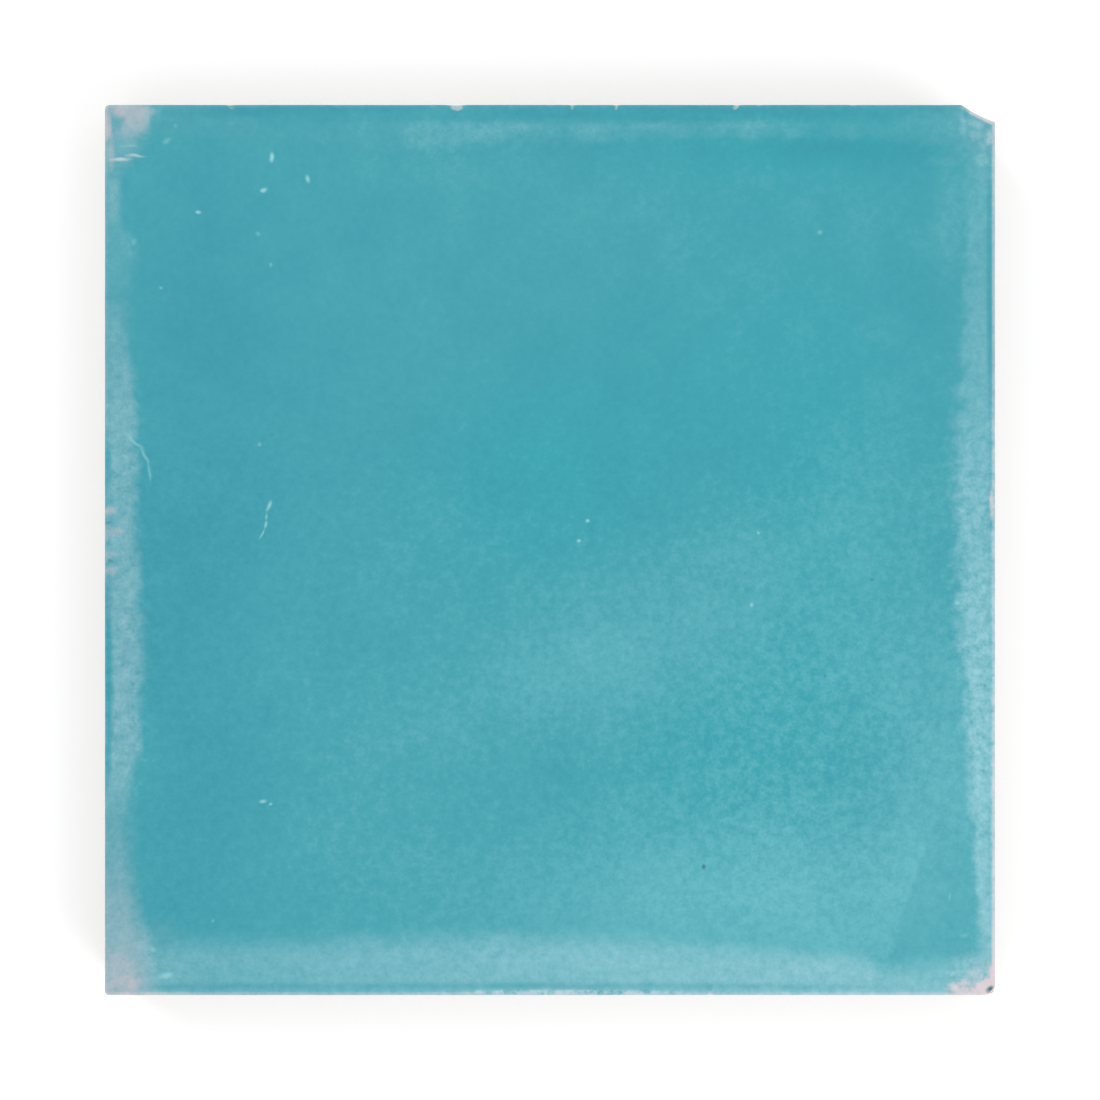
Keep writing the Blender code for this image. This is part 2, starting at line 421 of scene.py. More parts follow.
# Where salts have dried out of the face along its edges. For each side, places along it with how
# far in they start, how far in they end, how soft that end is, and how strong the pale bloom and
# the greyish film are. BLOOM_START is how soft their start is.
BLOOM_START = 0.8
EDGE_BLOOM = {
    "near": [
        (-100, -1.0, 9.0, 3.0, 0.22, 0.20),
        (-92, -1.0, 11.0, 4.0, 0.28, 0.10),
        (-84, -1.0, 11.0, 4.5, 0.28, 0.03),
        (-70, -1.0, 11.5, 4.0, 0.26, 0.01),
        (-50, -1.0, 12.0, 4.0, 0.33, 0.01),
        (-30, -1.0, 13.0, 3.5, 0.37, 0.00),
        (-10, -1.0, 13.0, 3.5, 0.42, 0.00),
        (10, -1.0, 12.5, 3.5, 0.46, 0.00),
        (30, -1.0, 11.0, 3.2, 0.46, 0.00),
        (50, -1.0, 9.4, 3.2, 0.52, 0.00),
        (64, -1.0, 8.8, 2.6, 0.54, 0.00),
        (70, -1.0, 8.4, 2.4, 0.55, 0.00),
        (75, -1.0, 5.2, 3.4, 0.47, 0.01),
        (88, -1.0, 6.2, 4.6, 0.44, 0.03),
        (100, -1.0, 8.0, 4.0, 0.44, 0.08),
    ],
    "right": [
        (-100, -1.0, 6.5, 3.0, 0.40, 0.08),
        (-93, -1.0, 4.5, 2.5, 0.42, 0.04),
        (-88, -1.0, 3.2, 1.8, 0.50, 0.00),
        (-80, -1.0, 3.7, 1.0, 0.56, 0.00),
        (-70, -1.0, 4.3, 0.9, 0.55, 0.00),
        (-60, -1.0, 4.9, 0.9, 0.56, 0.00),
        (-50, -1.0, 5.4, 1.4, 0.56, 0.00),
        (-40, -1.0, 6.3, 1.6, 0.55, 0.00),
        (-20, -1.0, 7.5, 1.9, 0.52, 0.00),
        (0, -1.0, 8.5, 2.2, 0.45, 0.00),
        (20, -1.0, 8.8, 2.2, 0.40, 0.00),
        (35, 1.0, 7.8, 2.2, 0.31, 0.00),
        (50, 1.7, 6.9, 1.4, 0.26, 0.01),
        (65, 1.8, 7.5, 1.6, 0.17, 0.02),
        (80, 1.6, 6.2, 1.2, 0.15, 0.01),
        (90, -1.0, 7.0, 3.5, 0.16, 0.04),
        (100, -1.0, 6.0, 2.5, 0.22, 0.12),
    ],
    "far": [
        (-100, -1.0, 8.0, 2.0, 0.06, 0.04),
        (-88, -1.0, 6.0, 2.0, 0.03, 0.02),
        (-60, 4.0, 8.0, 2.0, 0.02, 0.00),
        (-38, 4.0, 9.5, 2.0, 0.04, 0.00),
        (-28, 4.0, 9.5, 1.8, 0.10, 0.00),
        (-10, 3.9, 8.2, 2.0, 0.14, 0.00),
        (10, 4.1, 7.8, 1.8, 0.11, 0.00),
        (30, 4.0, 7.4, 1.2, 0.11, 0.00),
        (45, 4.0, 7.6, 1.2, 0.14, 0.00),
        (60, 4.2, 7.2, 1.2, 0.09, 0.00),
        (76, 4.2, 7.2, 1.2, 0.04, 0.00),
        (88, -1.0, 9.0, 2.5, 0.08, 0.02),
        (100, -1.0, 8.0, 2.0, 0.10, 0.05),
    ],
    "left": [
        (-100, -1.0, 9.6, 4.0, 0.10, 0.60),
        (-93, -1.0, 9.6, 4.5, 0.13, 0.50),
        (-88, -1.0, 9.2, 4.5, 0.18, 0.37),
        (-80, -1.0, 7.0, 2.8, 0.12, 0.28),
        (-70, -1.0, 5.4, 3.0, 0.11, 0.17),
        (-60, -1.0, 5.0, 3.6, 0.05, 0.12),
        (-50, 1.2, 6.4, 1.0, 0.20, 0.11),
        (-40, 1.6, 7.8, 1.3, 0.27, 0.12),
        (-20, 1.7, 7.9, 2.2, 0.26, 0.12),
        (0, -1.0, 7.6, 1.6, 0.21, 0.11),
        (20, 1.4, 6.8, 1.4, 0.25, 0.10),
        (35, -1.0, 6.6, 1.0, 0.25, 0.11),
        (50, -1.0, 4.6, 1.8, 0.16, 0.09),
        (57, -1.0, 5.0, 2.0, 0.07, 0.03),
        (65, -1.0, 6.8, 1.6, 0.08, 0.03),
        (74, -1.0, 3.4, 0.8, 0.13, 0.06),
        (84, -1.0, 3.2, 0.8, 0.13, 0.06),
        (90, -1.0, 8.0, 2.5, 0.11, 0.06),
        (100, -1.0, 8.5, 2.5, 0.12, 0.10),
    ],
}
# The darker line just inside the face's edge: how far in its middle is, its half width, and how
# strong it is at places along each side
EDGE_LINE = {
    "near": (
        1.95,
        0.8,
        [
            (-94, 0.1),
            (-85, 0.8),
            (-60, 0.65),
            (-30, 0.6),
            (-5, 0.8),
            (15, 0.65),
            (45, 0.65),
            (64, 0.4),
            (76, 0.3),
            (84, 0.2),
            (92, 0.0),
        ],
    ),
    "right": (
        1.35,
        0.35,
        [
            (-92, 0.0),
            (-80, 0.2),
            (-60, 0.45),
            (-42, 0.3),
            (-30, 0.15),
            (-10, 0.4),
            (10, 0.3),
            (30, 0.5),
            (55, 0.8),
            (80, 0.8),
            (88, 0.1),
        ],
    ),
    "far": (2.0, 1.2, [(-88, 0.1), (-80, 0.5), (30, 0.6), (70, 0.75), (84, 0.3), (90, 0.0)]),
    "left": (
        0.9,
        0.8,
        [
            (-80, 0.0),
            (-55, 0.3),
            (-40, 0.6),
            (-8, 0.6),
            (2, 0.2),
            (12, 0.4),
            (40, 0.3),
            (58, 0.1),
            (90, 0.0),
        ],
    ),
}
# The edge itself, rubbed through to the pale body: how strongly, and how pink it is, at places
# along each side
EDGE_RUB = {
    "near": [
        (-100, 0.5, 0.8),
        (-88, 0.5, 0.7),
        (-70, 0.42, 0.4),
        (0, 0.45, 0.3),
        (60, 0.42, 0.4),
        (88, 0.45, 0.5),
        (97, 1.0, 0.7),
    ],
    "right": [
        (-100, 1.0, 1.0),
        (-90, 0.8, 0.2),
        (-50, 0.6, 0.1),
        (-20, 0.45, 0.1),
        (10, 0.48, 0.1),
        (90, 0.6, 0.0),
    ],
    "far": [(-100, 0.5, 0.5), (-92, 0.2, 0.1), (90, 0.2, 0.0), (97, 0.4, 0.1)],
    "left": [(-100, 0.4, 0.8), (-85, 0.2, 0.5), (80, 0.2, 0.5), (92, 0.4, 0.8), (100, 0.5, 0.8)],
}
# Patches beside the corners and edges: x, y, half sizes and turn in degrees, then how much bloom,
# greyish film and rubbed body each has, and how pink it is
PATCHES = [
    (-94.8, 98.4, 6.0, 1.7, 0, 0.12, 0.70, 0.05, 0.2),
    (-92.9, 96.4, 3.1, 2.9, 0, 0.24, 0.66, 0.05, 0.0),
    (-90.5, 97.6, 0.9, 2.4, 0, 0.40, 0.45, 0.08, 0.0),
    (-94.2, 94.6, 4.4, 2.8, 20, 0.20, 0.34, 0.00, 0.0),
    (-95.6, 91.8, 4.6, 3.6, 0, 0.16, 0.06, 0.00, 0.0),
    (-99.1, 96.0, 0.9, 4.6, 0, 0.05, 0.60, 0.25, 0.9),
    (-98.5, 89.5, 0.9, 4.6, 0, 0.20, 0.34, 0.10, 0.5),
    (-98.0, 78.5, 1.5, 6.5, 0, 0.20, 0.10, 0.00, 0.0),
    (-95.2, 68.6, 2.4, 3.6, 0, 0.13, 0.00, 0.00, 0.0),
    (94.5, 92.5, 6.5, 6.5, 0, 0.09, 0.03, 0.00, 0.0),
    (92.7, 95.6, 0.9, 2.4, 10, 0.44, 0.08, 0.00, 0.0),
    (95.4, 95.6, 2.6, 1.2, -20, 0.42, 0.10, 0.00, 0.0),
    (95.7, 93.0, 2.2, 1.9, 0, 0.32, 0.12, 0.00, 0.0),
    (97.1, 91.2, 1.6, 2.0, 0, 0.34, 0.12, 0.00, 0.0),
    (98.5, 92.6, 1.1, 2.4, 0, 0.52, 0.22, 0.15, 0.3),
    (97.0, 87.8, 2.0, 1.8, 0, 0.38, 0.03, 0.00, 0.0),
    (95.2, 84.0, 3.0, 6.0, 0, 0.08, 0.02, 0.00, 0.0),
    (89.5, 74.0, 3.5, 13.0, 0, 0.07, 0.00, 0.00, 0.0),
    (88.4, 87.3, 3.0, 1.6, 0, 0.11, 0.00, 0.00, 0.0),
    (96.8, 79.0, 1.7, 4.0, 0, 0.12, 0.00, 0.00, 0.0),
    (97.4, -98.0, 4.0, 2.0, 28, 0.50, 0.40, 0.94, 0.65),
    (99.4, -96.0, 1.0, 2.6, 0, 0.30, 0.20, 0.80, 0.7),
    (98.6, -94.2, 1.0, 2.2, 0, 0.45, 0.25, 0.20, 0.5),
    (92.6, -98.0, 3.8, 1.5, 8, 0.75, 0.55, 0.60, 0.4),
    (95.4, -96.0, 4.8, 3.0, 22, 0.58, 0.28, 0.16, 0.2),
    (93.3, -93.8, 5.0, 3.0, 10, 0.36, 0.08, 0.00, 0.0),
    (99.3, 10.0, 0.8, 4.0, 0, 0.20, 0.10, 0.65, 0.4),
    (5.0, -99.3, 28.0, 0.7, 0, 0.80, 0.10, 0.30, 0.1),
    (-96.0, -99.4, 6.5, 0.9, 0, 0.00, 0.40, 0.20, 0.7),
    (-95.8, -97.6, 4.8, 3.0, 0, 0.06, 0.82, 0.02, 0.0),
    (-96.6, -93.4, 4.0, 3.6, 0, 0.10, 0.62, 0.00, 0.0),
    (-90.5, -90.0, 2.0, 5.0, 12, 0.30, 0.06, 0.00, 0.0),
    (-87.0, -87.0, 4.0, 4.0, 0, 0.02, 0.06, 0.00, 0.0),
    (-98.8, 8.9, 1.7, 1.1, 0, 0.24, 0.54, 0.06, 0.4),
    (-98.2, 3.9, 2.8, 1.1, 0, 0.24, 0.50, 0.04, 0.3),
    (-98.9, -0.9, 1.6, 0.9, 0, 0.24, 0.42, 0.04, 0.3),
    (-98.7, -4.8, 1.8, 1.2, 0, 0.24, 0.52, 0.06, 0.4),
]
# How gritty a patch's bloom makes the face
BLOOM_GRIT = 1.4
# How strongly the broken edge is rubbed, at places along X
BREAK_RUB = ([92.0, 96.0, 98.5], [0.35, 0.5, 0.8])
# Soft clouds in the pigment, and towards the near right lighter ones that are painted light
# falling from there: x, y, half sizes, turn in degrees, how much lighter and how much more vivid
CLOUDS_AND_PAINTED_LIGHT = [
    (-2, 18, 27, 25, 20, -0.40, 0.9),
    (26, 38, 20, 26, 0, 0.12, 0.2),
    (56, 42, 26, 30, 0, 0.00, 0.6),
    (62, 0, 20, 34, 0, 0.05, 0.6),
    (42, -44, 34, 26, 25, 0.10, 0.7),
    (14, -22, 46, 14, 28, 0.55, -0.4),
    (-36, -36, 26, 14, 45, 0.22, 0.0),
    (-54, 22, 20, 22, 0, -0.35, 0.0),
    (-80, 0, 17, 95, 0, -0.60, 0.0),
    (-42, 60, 50, 34, 0, -0.22, -0.2),
    # These two, and the one at 62, -88, are painted light falling on the near right
    (92, -64, 24, 52, 0, 0.85, -0.2),
    (42, -80, 50, 17, 0, 0.98, 0.0),
    (80, 60, 14, 30, 0, -0.25, 0.0),
    (48, 90, 40, 12, 0, -0.05, 0.6),
    (70, 90, 26, 3.5, 0, -0.60, 0.5),
    (10, 98.6, 90, 2.4, 0, -0.32, 0.0),
    (-78, -72, 17, 20, 0, -0.20, 0.0),
    (62, -88, 12, 5, 0, 0.22, 0.0),
]

# For each side, the distance along it and in from it, a scale that stretches noise along it, and
# how ragged, how mottled and how gritty its bloom is
sides = {
    "near": (x, y + HALF, (0.09, 1.0, 1.0), 0.4, 0.0, -0.35),
    "right": (y, HALF - x, (1.0, 0.09, 1.0), 2.0, 0.1, 0.25),
    "far": (x, HALF - y, (0.09, 1.0, 1.0), 0.6, 0.8, 1.2),
    "left": (y, x + HALF, (1.0, 0.09, 1.0), 1.2, 0.25, 0.7),
}


def from_middle(middle_x, middle_y, half_x, half_y, turn):
    """Each point's way from a turned oval's middle, along its two axes and in its half sizes."""
    turn = math.radians(turn)
    run = (x - middle_x) * math.cos(turn) + (y - middle_y) * math.sin(turn)
    rise = (y - middle_y) * math.cos(turn) - (x - middle_x) * math.sin(turn)
    return run / half_x, rise / half_y


# How much of each there is at each point, from 0 to 1, and how gritty the bloom makes it
bloom, film, line, rub, pink, gritty = np.zeros((6, len(points)))

# Bloom and film end in a ragged border and are streaked along the side. The line wanders and is
# broken up, and the rubbed edge is narrow, with a wider pink tinge.
waves = 0.05 * lumps(points, 9.0, 51) + 0.07 * lumps(points, 3.0, 52) + 0.1 * lumps(points, 1.5, 53)
for name, (along, inward, stretched, ragged, mottled, grit) in sides.items():
    at, *columns = np.transpose(EDGE_BLOOM[name])
    begins, reach, soft, bloom_here, film_here = [np.interp(along, at, column) for column in columns]
    reach = reach * (1 + ragged * waves)
    inside = ease(inward, begins - BLOOM_START, begins + BLOOM_START)
    inside *= 1 - ease(inward, reach - soft, reach + soft)
    streaks = 1 + 0.14 * lumps(points * stretched, 1.3, 54)
    bloom = np.maximum(bloom, bloom_here * inside * streaks * (1 + mottled * lumps(points, 3.2, 56)))
    film = np.maximum(film, film_here * inside * streaks)
    gritty = gritty + grit * np.clip(bloom_here / 0.4, 0, 1) * (1 - ease(inward, reach, 1.8 * reach))
    middle, half_width, strengths = EDGE_LINE[name]
    wander = middle + 0.25 * lumps(points * stretched, 2.0, 55)
    broken_up = 0.75 + 0.25 * lumps(points, 2.2, 57)
    line_here = np.interp(along, *np.transpose(strengths)) * broken_up
    line = np.maximum(line, line_here * np.exp(-(((inward - wander) / half_width) ** 2)))
    at, rub_here, pink_here = np.transpose(EDGE_RUB[name])
    rub = np.maximum(rub, np.interp(along, at, rub_here) * (1 - ease(inward, 0.5, 1.2)))
    pink = np.maximum(pink, np.interp(along, at, pink_here) * (1 - ease(inward, 1.0, 2.5)))

# The patches have wavering borders and blotchy insides, and bloom and film stay off the line
blotchy = 1 + 0.3 * lumps(points, 1.8, 60)
for *oval, bloom_here, film_here, rub_here, pink_here in PATCHES:
    away = np.hypot(*from_middle(*oval))
    away += 0.2 * lumps(points, 2.4, 58) + 0.12 * lumps(points, 1.1, 59)
    share = 1 - ease(away, 0.4, 1.4)
    bloom = np.maximum(bloom, bloom_here * share * blotchy)
    film = np.maximum(film, film_here * share * blotchy)
    rub = np.maximum(rub, rub_here * share)
    pink = np.maximum(pink, pink_here * (1 - ease(away, 0.9, 2.0)))
    gritty += (BLOOM_GRIT * bloom_here - gritty) * share
bloom *= 1 - line
film *= 1 - 0.5 * line

# The rings' own rubbing: the body shows in the nicks, where the arris is much wider than it was
# made, and along the broken edge
nicked = 0.6 * ease(edge_wear, 1.6 * FACE_ARRIS, 2.2 * FACE_ARRIS)
nicked = nicked * (1 - ease(insets, 0.9 * edge_wear, 1.3 * edge_wear))
broken_rim_rub = on_break * np.interp(path[:, 0] * HALF, *BREAK_RUB) * (1 - ease(insets, 0.3, 1.3))
rub[: insets.size] = np.maximum(rub[: insets.size], np.maximum(nicked, broken_rim_rub).ravel())

# The rubbing is on the arris and fades out between two depths below the face. The side there
# keeps the layer's colour, with little bloom.
RUB_FADES = (0.6, 1.5)
near_face = ease(z, THICK - RUB_FADES[1], THICK - RUB_FADES[0])
rub *= near_face
bloom *= 0.35 + 0.65 * near_face
film *= 0.5 + 0.5 * near_face

# How much lighter than the plain pigment each point is, and how much more vivid: uneven in two
# sizes, darker in the line, streaked at the far edge, and clouded, with painted light towards the
# near right
LINE_DARKER = 0.6
FAR_STREAKS = 0.3
lighter = 0.25 * lumps(points, 24.0, 61) + (0.16 + 0.07 * y / HALF) * lumps(points, 7.0, 62)
lighter -= LINE_DARKER * line
lighter += FAR_STREAKS * lumps(points * sides["far"][2], 1.6, 64) * (1 - ease(HALF - y, 2.0, 4.5))
vivid = np.zeros(len(points))
for *oval, more_light, more_vivid in CLOUDS_AND_PAINTED_LIGHT:
    run, rise = from_middle(*oval)
    share = np.exp(-(run**2) - rise**2)
    lighter += more_light * share
    vivid += more_vivid * share

# Near right, a corner of the face was wiped darker, up to a straight line between two points. The
# wipe sets in along the line and ends short of the near side.
WIPE_FROM = np.array([86.4, -60.0])
WIPE_TO = np.array([77.0, -89.0])
WIPE_SETS_IN = (-8.0, 14.0)
WIPE_ENDS = (90.0, 93.5)
WIPED_DARKER = 0.5
wipe_way = (WIPE_TO - WIPE_FROM) / np.linalg.norm(WIPE_TO - WIPE_FROM)
past_line = (x - WIPE_FROM[0]) * -wipe_way[1] + (y - WIPE_FROM[1]) * wipe_way[0]
down_line = (x - WIPE_FROM[0]) * wipe_way[0] + (y - WIPE_FROM[1]) * wipe_way[1]
wiped = ease(past_line + 0.3 * lumps(points, 5.0, 63), -0.3, 0.3)
wiped = wiped * ease(down_line, *WIPE_SETS_IN) * (1 - ease(-y, *WIPE_ENDS))
lighter -= WIPED_DARKER * wiped

# How strong the fine speckle is: more towards the near side, most in an oval near right, which is
# given as a cloud is, and in gritty bloom, and less where the face was wiped
SPECKLE_FAR = 0.62
SPECKLE_MORE_NEAR = 0.44
SPECKLE_MORE_IN_OVAL = 0.66
SPECKLED_OVAL = (55, -50, 34, 34, 0)
WIPED_SMOOTHER = 0.4
speckled = SPECKLE_FAR + SPECKLE_MORE_NEAR * ease(-y, -45, -10)
run, rise = from_middle(*SPECKLED_OVAL)
speckled += SPECKLE_MORE_IN_OVAL * np.exp(-(run**2) - rise**2)
speckled += gritty - WIPED_SMOOTHER * wiped

# The face isn't quite flat: it waves a little, falls off at its edges and is lower where it
# is rubbed
face_part = ease(z, THICK - 0.6, THICK - 0.05)
edge_distance = np.minimum(HALF - np.abs(x), HALF - np.abs(y))
relief = FACE_WAVES[0] * (1 + lumps(points, 34.0, 41)) + FACE_WAVES[1] * (1 + lumps(points, 5.0, 42))
relief += EDGE_FALL * np.exp(-edge_distance / 1.6)
relief += RUBBED_DEPTH * rub * (1 + lumps(points, 1.5, 43)) * ease(edge_distance, 0.2, 1.0)
points[:, 2] -= relief * face_part

# At the chip, points are carried out to a sphere's hollow, as at the broken corner
chip_middle = np.array([CHIP_FLATNESS] * 3)
chip_radius = math.hypot(1 + CHIP_FLATNESS, CHIP_FLATNESS, CHIP_FLATNESS)
chip_corner = np.array([HALF, -HALF, THICK])
chip_units = CHIP_LOST * (1, -1, 1)
away = (points - chip_corner) / chip_units - chip_middle
distance = np.linalg.norm(away, axis=1)
chipped = ease(chip_radius - distance, 0.0, 0.12)
away *= (np.maximum(distance, chip_radius) / distance)[:, None]
points = chip_corner + (away + chip_middle) * chip_units
rub = np.maximum(rub, chipped)

# The faces: quads between the rings and in the two grids, and a seam of triangles round each grid.
# The back's are turned over, to face down.
ring_index = np.arange(insets.size).reshape(insets.shape)
onward = np.roll(ring_index, -1, 1)
ring_quads = np.stack([ring_index[:-1], onward[:-1], onward[1:], ring_index[1:]], -1).reshape(-1, 4)
face_seam = stitch(ring_index[-1], face_border, POINTS_PER_SIDE // FACE_CELLS_PER_SIDE)
back_seam = stitch(ring_index[0], back_border, POINTS_PER_SIDE // (len(back_lines) - 1))
quads = np.concatenate([ring_quads, face_quads, back_quads[:, ::-1]])
triangles = np.concatenate([face_seam, back_seam[:, ::-1]])

# The material: turquoise cement pressed against steel. The eye sees a satin, nearly even
# turquoise with soft clouds and painted light towards the near right, a greyer darker band to
# the left, pale bloom along the edges, pinkish body where the arris is rubbed, a few pale
# scratches and specks, dark spots of painted shade at pits and nicks, and grey mortar below the
# layer with painted shade in its pores and voids.
TURQUOISE = {"deep": "#2793A4", "mid": "#389EAC", "light": "#62B7C1", "vivid": "#27A0AC"}
BLOOM_COLOUR = "#98CCD7"
FILM_COLOUR = "#B7B7BF"
BODY = {"dark": "#BCC2C6", "light": "#DCDFE2", "pink": "#E1C9D0"}
# The mortar's hollow colour is painted shade, laid in its pores and voids
MORTAR = {"dark": "#8F8780", "light": "#C6C0B7", "hollow": "#6A645E"}
# The dark mark colour is painted shade, for the face's pits and nicks
MARK_COLOURS = {"pale": "#93D2D8", "chalky": "#B9C9D0", "dark": "#1F5F70"}
# Each noise: the size of its features in millimetres and how many finer octaves it has, and then
# how much of it is in the speckle
NOISE_SIZES = {"mottle": (6.0, 2.0), "speckle": (1.7, 2.0), "grain": (0.6, 1.0)}
SPECKLE_AMOUNTS = {"mottle": 0.1, "speckle": 1.35, "grain": 0.7}
# The shade at which the deep and the light colour are reached
DEEPEST = -1.0
LIGHTEST = 1.6
# How rubbed the face is where the body begins to show and where it shows most, and how much of it
# that is
BARE = (0.1, 0.95)
MOST_BARE = 0.95
# The mortar's sand, the share of its cells that have no pore, the largest pore's radius and its
# soft border in cells, where a void begins and ends to show, and how dark the painted shade in
# both makes the mortar
SAND_SIZE = 0.9
NO_PORE = 0.86
PORE_RADIUS = 0.6
PORE_BORDER = 0.15
VOID_SHOWS = (0.1, 0.7)
PAINTED_HOLLOW_SHADE = 0.75
# The finest relief, in millimetres: orange peel on the face, and sand in the mortar
PEEL_HEIGHT = 0.02
SAND_HEIGHT = 0.3
# The satin face's roughness, from its smoothest to its roughest, the noise at which it has each,
# and the roughness of what is matt
SATIN = (0.42, 0.5)
SATIN_NOISE = (0.3, 0.7)
MATT = {"bloom": 0.65, "body": 0.8, "mortar": 0.9}
# How far noise wavers the layer's lower line, and the heights above it between which mortar begins
LAYER_WAVER = 0.9
LAYER_BORDER = (0.7, 0.2)
# Where a mark's soft border begins and ends, in half sizes, and how far noise wavers it
MARK_BORDER = (0.1, 1.7)
MARK_WAVER = 2.5
# Specks and scratches of the face, and dark spots of painted shade where its pits and nicks are:
# x, y, half sizes, turn in degrees and strength
MARKS = {
    "pale": [
        (-62.5, 88.1, 0.42, 1.0, 0, 0.85),
        (-54.4, 83.3, 0.5, 0.8, 15, 0.7),
        (-64.2, 80.9, 0.55, 0.5, 0, 0.8),
        (-79.0, 75.8, 0.75, 0.4, 15, 0.75),
        (-65.7, 70.8, 0.75, 0.65, 0, 0.35),
        (-62.7, 64.0, 0.5, 0.5, 0, 0.4),
        (-87.5, 58.7, 0.5, 0.5, 0, 0.4),
        (-93.6, 69.0, 0.75, 0.75, 0, 0.3),
        (60.5, 71.2, 0.6, 0.65, 0, 0.4),
        (-65.0, 23.9, 0.5, 0.5, 0, 0.4),
        (8.1, 6.2, 0.45, 0.35, 0, 0.7),
        (6.9, 2.5, 0.45, 0.35, 0, 0.7),
        (46.7, 3.8, 0.4, 0.4, 0, 0.6),
        (45.3, -12.3, 0.4, 0.4, 0, 0.6),
        (-64.7, -56.7, 0.9, 0.35, 10, 0.65),
        (-62.8, -57.1, 0.35, 0.3, 0, 0.6),
        (-75.7, -83.3, 0.5, 0.45, 0, 0.35),
        (-63.2, 9.8, 0.3, 1.0, -12, 0.65),
        (-63.6, 7.5, 0.25, 0.9, -10, 0.5),
        (-64.0, 5.5, 0.3, 0.9, -14, 0.65),
        (-64.8, 3.4, 0.25, 1.1, -25, 0.55),
        (-93.2, 24.4, 0.4, 2.8, 42, 0.45),
        (-91.2, 20.9, 0.4, 2.6, 26, 0.45),
        (-90.1, 17.3, 0.4, 2.4, 8, 0.4),
        (-86.4, -95.8, 1.6, 0.7, 10, 0.6),
        (-86.1, 91.8, 0.8, 0.65, 0, 0.33),
        (-84.3, 95.0, 0.6, 0.6, 0, 0.28),
        (-89.0, -89.5, 0.8, 0.8, 0, 0.4),
        (91.7, -11.6, 0.6, 0.5, 0, 0.6),
        (89.5, -78.0, 0.4, 1.0, 0, 0.3),
        (93.0, -86.6, 0.9, 0.5, 0, 0.3),
        (90.3, -95.1, 0.5, 0.5, 0, 0.4),
    ],
    "chalky": [
        (-96.7, 87.5, 1.9, 0.42, 0, 0.95),
        (-93.1, 88.4, 2.0, 0.42, 0, 0.65),
        (-94.5, 90.6, 2.4, 0.35, 0, 0.3),
    ],
    # Painted shade: a pit at the near right corner, nicks along the left edge, and pinholes
    "dark": [
        (98.5, -98.9, 0.6, 0.6, 0, 0.9),
        (34.6, -71.0, 0.45, 0.55, 0, 0.7),
        (-99.0, 6.3, 0.9, 0.5, 0, 0.42),
        (-98.9, -2.6, 0.9, 0.5, 0, 0.42),
        (-99.2, 1.4, 0.8, 0.45, 0, 0.3),
        (72.0, -7.0, 0.35, 0.35, 0, 0.5),
        (62.0, -28.0, 0.35, 0.3, 0, 0.4),
    ],
}


def add_node(tree, kind, settings=None, inputs=None):
    """One shader node: its own settings, and its inputs, where outputs are linked and values set."""
    node = tree.nodes.new(kind)
    for name, value in (settings or {}).items():
        setattr(node, name, value)
    for key, value in (inputs or {}).items():
        if isinstance(value, bpy.types.NodeSocket):
            tree.links.new(value, node.inputs[key])
        else:
            node.inputs[key].default_value = value
    return node


finish = bpy.data.materials.new("pressed_turquoise_cement")
finish.use_nodes = True
tree = finish.node_tree
shader = tree.nodes["Principled BSDF"]

# What the mesh tells the material at each of its points
attributes = {
    "bloom": bloom,
    "film": film,
    "rub": rub,
    "pink": pink,
    "lighter": lighter,
    "vivid": vivid,
    "speckled": speckled,
    "above": above,
    "hollow": hollow,
}
value_of = {
    name: add_node(tree, "ShaderNodeAttribute", {"attribute_name": name}).outputs["Fac"]
    for name in attributes
}
object_place = add_node(tree, "ShaderNodeTexCoord").outputs["Object"]
place = add_node(
    tree, "ShaderNodeVectorMath", {"operation": "SCALE"}, {0: object_place, "Scale": 1 / MM}
).outputs[0]
noise = {}
for name, (size, detail) in NOISE_SIZES.items():
    noise[name] = add_node(
        tree, "ShaderNodeTexNoise", {}, {"Vector": place, "Scale": 1 / size, "Detail": detail}
    ).outputs[0]

# Turquoise, shaded by the clouds and the noises
fine = 0.0
centred = {}
for name, amount in SPECKLE_AMOUNTS.items():
    centred[name] = add_node(
        tree, "ShaderNodeMath", {"operation": "SUBTRACT"}, {0: noise[name], 1: 0.5}
    ).outputs[0]
    fine = add_node(
        tree, "ShaderNodeMath", {"operation": "MULTIPLY_ADD"}, {0: centred[name], 1: amount, 2: fine}
    ).outputs[0]
shade = add_node(
    tree,
    "ShaderNodeMath",
    {"operation": "MULTIPLY_ADD"},
    {0: fine, 1: value_of["speckled"], 2: value_of["lighter"]},
).outputs[0]
darker = add_node(tree, "ShaderNodeMapRange", {}, {0: shade, 1: 0.0, 2: DEEPEST}).outputs[0]
paler = add_node(tree, "ShaderNodeMapRange", {}, {0: shade, 1: 0.0, 2: LIGHTEST}).outputs[0]
colour = add_node(
    tree,
    "ShaderNodeMix",
    {"data_type": "RGBA"},
    {0: value_of["vivid"], 6: linear(TURQUOISE["mid"]), 7: linear(TURQUOISE["vivid"])},
).outputs[2]
colour = add_node(
    tree, "ShaderNodeMix", {"data_type": "RGBA"}, {0: darker, 6: colour, 7: linear(TURQUOISE["deep"])}
).outputs[2]
colour = add_node(
    tree, "ShaderNodeMix", {"data_type": "RGBA"}, {0: paler, 6: colour, 7: linear(TURQUOISE["light"])}
).outputs[2]

